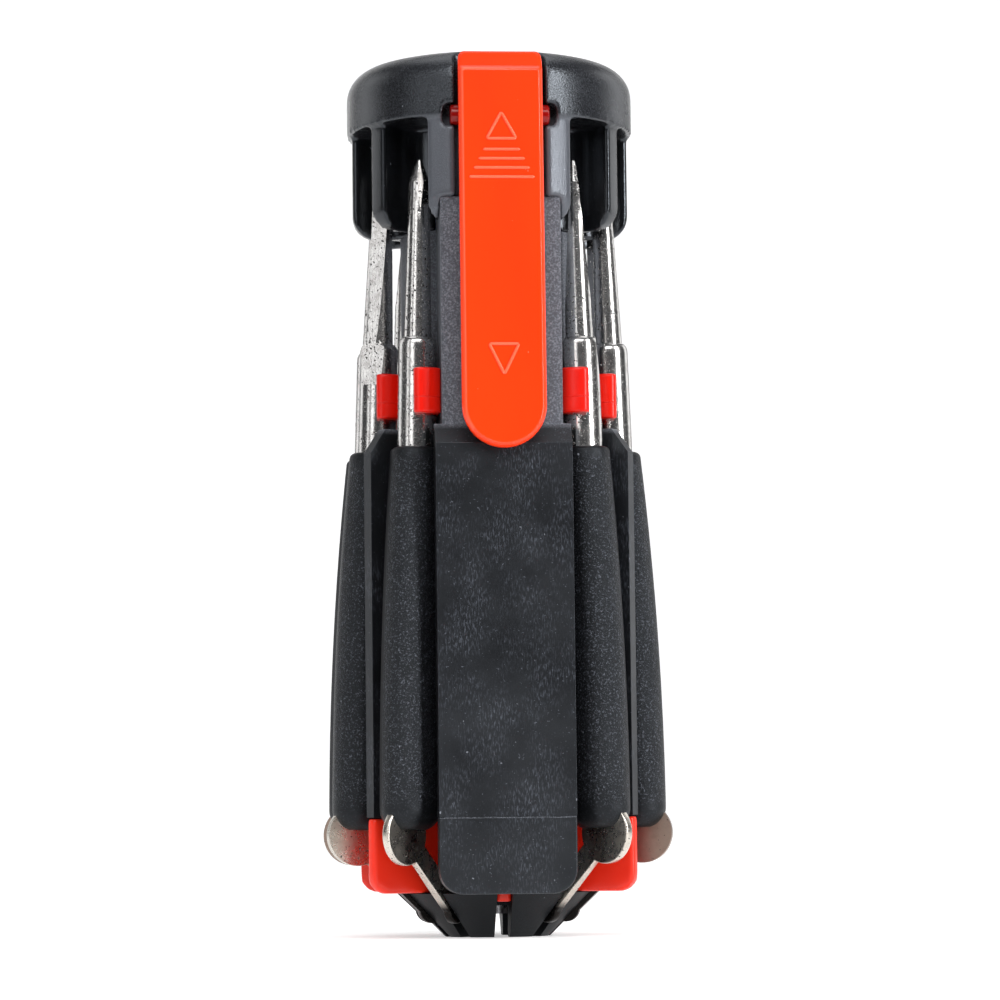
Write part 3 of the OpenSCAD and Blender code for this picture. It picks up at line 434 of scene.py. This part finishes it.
def soften(obj, width):
    """Joins the solid's faces, rounds its edges and evens out its shading."""
    join_faces(obj)
    flat = obj.modifiers.new("flat", "DECIMATE")
    flat.decimate_type = "DISSOLVE"
    flat.angle_limit = FLAT_ANGLE
    edge = obj.modifiers.new("edge", "BEVEL")
    edge.width = width * MM
    edge.segments = BEVEL_STEPS
    edge.limit_method = "ANGLE"
    edge.angle_limit = BEVEL_ANGLE
    edge.harden_normals = False
    even = obj.modifiers.new("even", "WEIGHTED_NORMAL")
    even.keep_sharp = True
    even.weight = FACE_WEIGHT


for name, obj in nodes.items():
    wear(obj, finish[FINISH[name]])
    if name in SKIN:
        mould(obj, *SKIN[name])
    elif name in EDGE:
        soften(obj, EDGE[name])


# Helpers for the lofted pieces, in millimetres until a matrix takes them to the model's metres


def link_object(name, data):
    obj = bpy.data.objects.new(name, data)
    bpy.context.scene.collection.objects.link(obj)
    return obj


def new_piece(name, mesh, node, body, material):
    obj = link_object(name, mesh)
    wear(obj, material)
    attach(obj, body)
    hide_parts(node)
    return obj


def loft(bm, rings, to_model):
    """Joins rings of points into a closed solid, and returns its rings of vertices."""
    made = [[bm.verts.new(to_model @ Vector(p)) for p in ring] for ring in rings]
    count = len(made[0])
    for low, high in zip(made, made[1:]):
        for k in range(count):
            bm.faces.new((low[k], low[(k + 1) % count], high[(k + 1) % count], high[k]))
    bm.faces.new(list(reversed(made[0])))
    bm.faces.new(made[-1])
    return made


def mesh_from(bm, name, flat_ends=False):
    """Mesh with smooth faces. With flat_ends, only its four-sided faces are smooth."""
    mesh = bpy.data.meshes.new(name)
    bm.to_mesh(mesh)
    bm.free()
    for face in mesh.polygons:
        face.use_smooth = not flat_ends or len(face.vertices) == 4
    return mesh


# Grips: one smooth lofted moulding for each driver

# Places in degrees around the core, and sizes in mm
FIRST_AZIMUTH, AZIMUTH_STEP = 42, 32
FOOT_R, GRIP_Z, GRIP_L, GRIP_W = 19.8, 15.4, 54.2, 7.0
LEAN_IN, LEAN_UP = 3.3, 95.9
LEAN = math.atan(LEAN_IN / LEAN_UP)
# Reach from the axis inward, and outward at the foot with its rise and fall along the grip
INNER_REACH = 4.386
REACH_FOOT, REACH_RISE, REACH_FALL = 5.06, 1.78, 3.0
# Rounding of the ends. The foot's arc starts and turns by these degrees
FOOT_ROUND, TOP_ROUND = 2.9, 0.75
FOOT_START, FOOT_TURN = 18, 72
FOOT_STEPS, SIDE_STEPS, TOP_STEPS, RING_STEPS = 8, 26, 6, 88
# The smooth strip, in degrees from the middle of the outer side
STRIP_FROM, STRIP_TO, STRIP_MIDDLE, STRIP_HALF = 24, 58, 41, 17
STRIP_PROUD = 1.02
STRIP_LEFT = (1, 2, 7, 8)
SMOOTH_FOOT, SMOOTH_TOP, END_GRAIN = 3.2, 0.9, 0.18


def driver_azimuth(n):
    side = -1 if n <= PER_SIDE else 1
    return side * (FIRST_AZIMUTH + (n - 1) % PER_SIDE * AZIMUTH_STEP)


def driver_frame(n):
    """From millimetres on a driver's leaning axis to the model's metres."""
    turn = Matrix.Rotation(math.radians(driver_azimuth(n)), 4, "Z")
    stand = Matrix.Translation((0, -FOOT_R, GRIP_Z)) @ Matrix.Rotation(-LEAN, 4, "X")
    return Matrix.Scale(MM, 4) @ turn @ stand


def grip_levels():
    """Height and inset of each ring of a grip: a rounded foot, a straight side and a rounded top."""
    levels = []
    first = math.cos(math.radians(FOOT_START))
    for k in range(FOOT_STEPS + 1):
        a = math.radians(FOOT_START + FOOT_TURN * k / FOOT_STEPS)
        levels.append((FOOT_ROUND * (first - math.cos(a)), FOOT_ROUND * (1 - math.sin(a))))
    start = levels[-1][0]
    stop = GRIP_L - TOP_ROUND
    levels += [(start + (stop - start) * k / SIDE_STEPS, 0.0) for k in range(1, SIDE_STEPS)]
    for k in range(TOP_STEPS + 1):
        a = math.radians(90 * k / TOP_STEPS)
        levels.append((stop + TOP_ROUND * math.sin(a), TOP_ROUND * (1 - math.cos(a))))
    return levels


def grip_ring(z, inset, strip_side):
    """Section of a grip at a height: two round sides, with a flat smooth strip on one side of the
    outer one. Returns its points and how grained each of them is."""
    t = z / GRIP_L
    reach = REACH_FOOT + REACH_RISE * t - REACH_FALL * t * t
    r = GRIP_W / 2 - inset
    outer, inner = -(reach - GRIP_W / 2), INNER_REACH - GRIP_W / 2
    near_end = z < SMOOTH_FOOT or z > GRIP_L - SMOOTH_TOP
    points, grains = [], []
    for k in range(RING_STEPS):
        a = 2 * math.pi * (k + 0.5) / RING_STEPS
        x, y = r * math.sin(a), -r * math.cos(a)
        off = math.degrees(math.acos(math.cos(a)))
        smooth = STRIP_FROM < off < STRIP_TO and x * strip_side > 0
        if smooth:
            flat = math.cos(math.radians(STRIP_HALF)) / math.cos(math.radians(off - STRIP_MIDDLE))
            share = min(1, flat * STRIP_PROUD)
            x, y = x * share, y * share
        points.append((x, y + (outer if math.cos(a) > 0 else inner), z))
        grains.append(END_GRAIN if near_end else 0.0 if smooth else 1.0)
    return points, grains


def grip_mesh(n):
    bm = bmesh.new()
    grain = bm.verts.layers.float.new("grain")
    strip_side = -1 if n in STRIP_LEFT else 1
    rings = [grip_ring(z, inset, strip_side) for z, inset in grip_levels()]
    made = loft(bm, [points for points, grains in rings], driver_frame(n))
    for ring, (points, grains) in zip(made, rings):
        for v, value in zip(ring, grains):
            v[grain] = value
    bmesh.ops.recalc_face_normals(bm, faces=bm.faces)
    return mesh_from(bm, "driver_%d_grip_form" % n, flat_ends=True)


for n in DRIVERS:
    new_piece("driver_%d_grip_form" % n, grip_mesh(n), "driver_%d_grip" % n, "driver_%d" % n,
              finish["grip_plastic"])


# Belt clip: bevelled tongue, hinge lugs and raised marks

# Sizes in mm, as in the part
CLIP_W, CLIP_T = 12.0, 1.8
LUG_Y, LUG_Z, LUG_D, LUG_L, LUG_DEPTH = 18.3, 116.8, 3.0, 1.1, 1.3
LUG_EDGE, LUG_STEPS = 0.25, 28
NECK_INSET, NECK_IN, NECK_BACK = 0.3, 0.2, 0.4
CLIP_TOP, CLIP_SLOPE = 9.0, 2.7
PANEL_Y, CLIP_GAP, CLIP_BACK_Y, LEDGE_Z, CLIP_END_Z = 20.4, 0.35, 19.6, 69.7, 68.8
CLIP_END = LUG_Z - CLIP_END_Z
CLIP_LEAN = math.atan((PANEL_Y + CLIP_GAP - CLIP_BACK_Y) / (LUG_Z - LEDGE_Z))
CLIP_FRAME = (Matrix.Scale(MM, 4) @ Matrix.Translation((0, -LUG_Y, LUG_Z))
              @ Matrix.Rotation(-CLIP_LEAN, 4, "X"))
CORNER_STEPS, FOOT_ARC_STEPS = 6, 40
# Painted highlight on the tongue's front edge: its rings, where its left side begins, and how strong it
# is on the left, on the rest and on the marks
HIGHLIGHT_RINGS = slice(6, 8)
HIGHLIGHT_X, HIGHLIGHT_LEFT, HIGHLIGHT_REST, HIGHLIGHT_MARK = -4.4 * MM, 0.35, 0.08, 0.5
RIDGE_W, RIDGE_H, RIDGE_STEPS = 0.46, 0.24, 10
# Distance from a ridge's end and share of its full section
RIDGE_TAPER = ((0.0, 0.35), (0.12, 0.8), (0.3, 1.0))
ARROW_HALF, ARROW_H, ARROW_DROP = 2.1, 3.8, 9.2
BAR_COUNT, BAR_L, BAR_GROWTH, BAR_STEP, BAR_DROP = 4, 5.3, 1.33, 1.32, 0.24
LOW_ARROW_RISE, LOW_ARROW_TIP = 10.8, 0.5
CLIP_WEIGHT = 90


def clip_outline(inset, top, corner):
    """Outline of the tongue, from its top right corner round its foot to its top left corner."""
    w = CLIP_W / 2 - inset
    foot = -(CLIP_END - CLIP_W / 2)
    points = []
    for k in range(CORNER_STEPS + 1):
        a = math.radians(90 - 90 * k / CORNER_STEPS)
        points.append((w - corner + corner * math.cos(a), top - corner + corner * math.sin(a)))
    for k in range(FOOT_ARC_STEPS + 1):
        a = math.radians(-180 * k / FOOT_ARC_STEPS)
        points.append((w * math.cos(a), foot + w * math.sin(a)))
    for k in range(CORNER_STEPS + 1):
        a = math.radians(180 - 90 * k / CORNER_STEPS)
        points.append((-w + corner + corner * math.cos(a), top - corner + corner * math.sin(a)))
    return points


def tongue_rings(back, front):
    """Rings of the tongue from its back to its front face, with rounded edges and a sloping top."""
    low_top = CLIP_TOP - CLIP_SLOPE
    # Depth, inset, height of the top and radius of the top corners
    levels = (
        (back, 0.22, CLIP_TOP - 0.25, 0.8), (back - 0.1, 0.06, CLIP_TOP - 0.05, 0.9),
        (back - 0.28, 0.0, CLIP_TOP - 0.3, 1.0), (back - 0.7, 0.0, CLIP_TOP - 1.15, 0.9),
        (front + 0.75, 0.0, low_top + 0.5, 0.6), (front + 0.55, 0.04, low_top + 0.18, 0.5),
        (front + 0.12, 0.42, low_top - 0.12, 0.4), (front + 0.03, 0.55, low_top - 0.26, 0.35),
        (front, 0.75, low_top - 0.46, 0.3),
    )
    return [[(x, y, z) for x, z in clip_outline(inset, top, corner)] for y, inset, top, corner in levels]


def neck_rings(back):
    """Rings of the block that joins the tongue to its lugs."""
    w, h = CLIP_W / 2 - NECK_INSET, LUG_D / 2
    return [[(-w, y, -h), (w, y, -h), (w, y, h), (-w, y, h)] for y in (back - NECK_IN, NECK_BACK)]


def bar_rings(d, length):
    """Rings of a round bar along X with bevelled ends."""
    turns = [2 * math.pi * k / LUG_STEPS for k in range(LUG_STEPS)]
    sections = ((-length / 2, d / 2 - LUG_EDGE), (-length / 2 + LUG_EDGE, d / 2),
                (length / 2 - LUG_EDGE, d / 2), (length / 2, d / 2 - LUG_EDGE))
    return [[(x, r * math.cos(a), r * math.sin(a)) for a in turns] for x, r in sections]


def ridge_rings(start, end, front):
    """Rings of a low round ridge on the clip's face, with tapered ends."""
    start, end = Vector(start), Vector(end)
    along = (end - start).normalized()
    side = Vector((-along.y, along.x))
    stations = [(start + along * t, size) for t, size in RIDGE_TAPER]
    stations += [(end - along * t, size) for t, size in reversed(RIDGE_TAPER)]
    rings = []
    for middle, size in stations:
        ring = []
        for k in range(RIDGE_STEPS):
            a = 2 * math.pi * k / RIDGE_STEPS
            x, z = middle + side * (math.cos(a) * RIDGE_W / 2 * size)
            ring.append((x, front - math.sin(a) * RIDGE_H * size, z))
        rings.append(ring)
    return rings


def arrow(base, tip):
    """Three lines of an arrow from the height of its base to that of its tip."""
    left, right, point = (-ARROW_HALF, base), (ARROW_HALF, base), (0, tip)
    return [(left, right), (right, point), (point, left)]


def clip_marks():
    """Lines of the raised marks: an arrow over four bars, and an arrow near the foot."""
    base = CLIP_TOP - ARROW_DROP - ARROW_H
    lines = arrow(base, base + ARROW_H)
    for k in range(BAR_COUNT):
        half = (BAR_L + BAR_GROWTH * k) / 2
        z = base - (k + 1) * BAR_STEP - BAR_DROP
        lines.append(((-half, z), (half, z)))
    low = -CLIP_END + LOW_ARROW_RISE
    return lines + arrow(low + ARROW_H, low - LOW_ARROW_TIP)


def clip_mesh():
    bm = bmesh.new()
    painted_lug_shade = bm.verts.layers.float.new("painted_lug_shade")
    painted_highlight = bm.verts.layers.float.new("painted_highlight")
    back, front = -LUG_DEPTH, -LUG_DEPTH - CLIP_T
    # Painted highlight along the front edge, stronger on the left
    for ring in loft(bm, tongue_rings(back, front), CLIP_FRAME)[HIGHLIGHT_RINGS]:
        for v in ring:
            v[painted_highlight] = HIGHLIGHT_LEFT if v.co.x < HIGHLIGHT_X else HIGHLIGHT_REST
    loft(bm, neck_rings(back), CLIP_FRAME)
    # The lugs are marked for painted shade
    for ring in loft(bm, bar_rings(LUG_D, CLIP_W + 2 * LUG_L), CLIP_FRAME):
        for v in ring:
            v[painted_lug_shade] = 1.0
    # Painted highlight on the raised marks
    for start, end in clip_marks():
        for ring in loft(bm, ridge_rings(start, end, front), CLIP_FRAME):
            for v in ring:
                v[painted_highlight] = HIGHLIGHT_MARK
    bmesh.ops.recalc_face_normals(bm, faces=bm.faces)
    return mesh_from(bm, "belt_clip_form")


clip = new_piece("belt_clip_form", clip_mesh(), "belt_clip", "clip",
                 finish["clip_plastic"])
clip.modifiers.new("even", "WEIGHTED_NORMAL").weight = CLIP_WEIGHT


# Stage, light and camera

# The floor's size in metres. It lies just below the base, so that the two do not meet
SWEEP_HALF, SWEEP_NEAR, SWEEP_FAR, SWEEP_HIGH = 0.55, -0.28, 0.9, 1.2
SWEEP_R, SWEEP_STEPS = 0.35, 12
SWEEP_DROP = 0.02 * MM
STAGE_DARK, STAGE_LIGHT = (0.9, 0.9, 0.9, 1), (0.92, 0.92, 0.92, 1)
STAGE_GLOW = 0.42
WORLD_LOW, WORLD_HIGH = (0.03, 0.03, 0.032, 1), (0.12, 0.12, 0.125, 1)
# Name, place, aim, width and height in metres, and watts
LIGHTS = (
    ("key_left", (-0.62, -0.36, 0.3), (0, 0, 0.07), (0.14, 0.6), 0.5),
    ("strip_left", (-0.42, -0.62, 0.24), (0, 0, 0.08), (0.24, 0.3), 0.5),
    ("key_right", (0.5, -0.44, 0.28), (0, 0, 0.07), (0.11, 0.6), 5.0),
    ("rear_left", (-0.5, 0.3, 0.25), (0, 0, 0.08), (0.3, 0.5), 0.6),
    ("rear_right", (0.5, 0.3, 0.25), (0, 0, 0.08), (0.3, 0.5), 0.7),
    ("front", (-0.12, -0.62, 0.6), (0, 0, 0.06), (0.7, 0.3), 3.6),
    ("top", (0, 0.05, 0.6), (0, 0, 0.1), (0.5, 0.4), 1.0),
)
# The camera's turn in degrees, its place in metres, and its focal length in pixels of the picture
CAMERA_AZIMUTH, CAMERA_YAW, CAMERA_PITCH, CAMERA_ROLL = -4.69, -0.1022, 4.854, -0.637
CAMERA_DISTANCE, CAMERA_HEIGHT = 0.572, 0.0147
FOCAL, PICTURE_W, SENSOR_W, NEAR_CLIP = 3930.9, 1000, 36, 0.01


def stage_material():
    made, tree, shader = new_material("stage_white")
    clouds = ramp(tree, noise(tree, place(tree), scale=6), 0.3, 0.7)
    feed(tree, shader, {
        "Base Color": blend_colour(tree, clouds, STAGE_DARK, STAGE_LIGHT),
        "Roughness": 0.9, "Specular IOR Level": 0.0,
        "Emission Color": (1, 1, 1, 1), "Emission Strength": STAGE_GLOW,
    })
    return made


def sweep():
    """Floor that curves up into a wall behind the object."""
    bm = bmesh.new()
    bend = SWEEP_FAR - SWEEP_R
    profile = [(SWEEP_NEAR, 0.0), (bend, 0.0)]
    for k in range(1, SWEEP_STEPS + 1):
        a = math.radians(90 * k / SWEEP_STEPS)
        profile.append((bend + SWEEP_R * math.sin(a), SWEEP_R - SWEEP_R * math.cos(a)))
    profile.append((SWEEP_FAR, SWEEP_HIGH))
    left, right = ([bm.verts.new((x, y, z - SWEEP_DROP)) for y, z in profile]
                   for x in (-SWEEP_HALF, SWEEP_HALF))
    for k in range(len(profile) - 1):
        bm.faces.new((left[k], right[k], right[k + 1], left[k + 1]))
    obj = link_object("sweep", mesh_from(bm, "sweep"))
    wear(obj, stage_material())


def softbox(name, at, to, size, energy):
    data = bpy.data.lights.new(name, "AREA")
    data.shape = "RECTANGLE"
    data.size, data.size_y = size
    data.energy = energy
    obj = link_object(name, data)
    obj.location = at
    obj.rotation_euler = (Vector(to) - Vector(at)).to_track_quat("-Z", "Y").to_euler()


def set_world():
    """Dim surround, a little lighter toward the zenith."""
    world = bpy.data.worlds.new("studio")
    world.use_nodes = True
    bpy.context.scene.world = world
    tree = world.node_tree
    height = axis(tree, add(tree, "ShaderNodeTexCoord").outputs["Generated"], "Z")
    tone = blend_colour(tree, ramp(tree, height, -0.2, 0.9), WORLD_LOW, WORLD_HIGH)
    feed(tree, tree.nodes["Background"], {"Color": tone, "Strength": 1.0})


def set_camera():
    """Camera fitted to the photograph: azimuth, distance, height, focal length and turn."""
    azimuth, yaw, pitch, roll = (
        math.radians(v) for v in (CAMERA_AZIMUTH, CAMERA_YAW, CAMERA_PITCH, CAMERA_ROLL))
    a = azimuth + yaw
    ahead = Vector((-math.sin(a) * math.cos(pitch), math.cos(a) * math.cos(pitch), math.sin(pitch)))
    level = Vector((math.cos(a), math.sin(a), 0))
    upright = level.cross(ahead)
    right = math.cos(roll) * level + math.sin(roll) * upright
    up = -math.sin(roll) * level + math.cos(roll) * upright
    turn = Matrix((right, up, -ahead)).transposed().to_4x4()
    stand = (CAMERA_DISTANCE * math.sin(azimuth), -CAMERA_DISTANCE * math.cos(azimuth), CAMERA_HEIGHT)
    data = bpy.data.cameras.new("camera")
    data.sensor_width = SENSOR_W
    data.lens = FOCAL * SENSOR_W / PICTURE_W
    data.clip_start = NEAR_CLIP
    obj = link_object("camera", data)
    obj.matrix_world = Matrix.Translation(stand) @ turn
    bpy.context.scene.camera = obj


sweep()
set_world()
for light in LIGHTS:
    softbox(*light)
set_camera()
bpy.context.scene.view_settings.view_transform = "Standard"
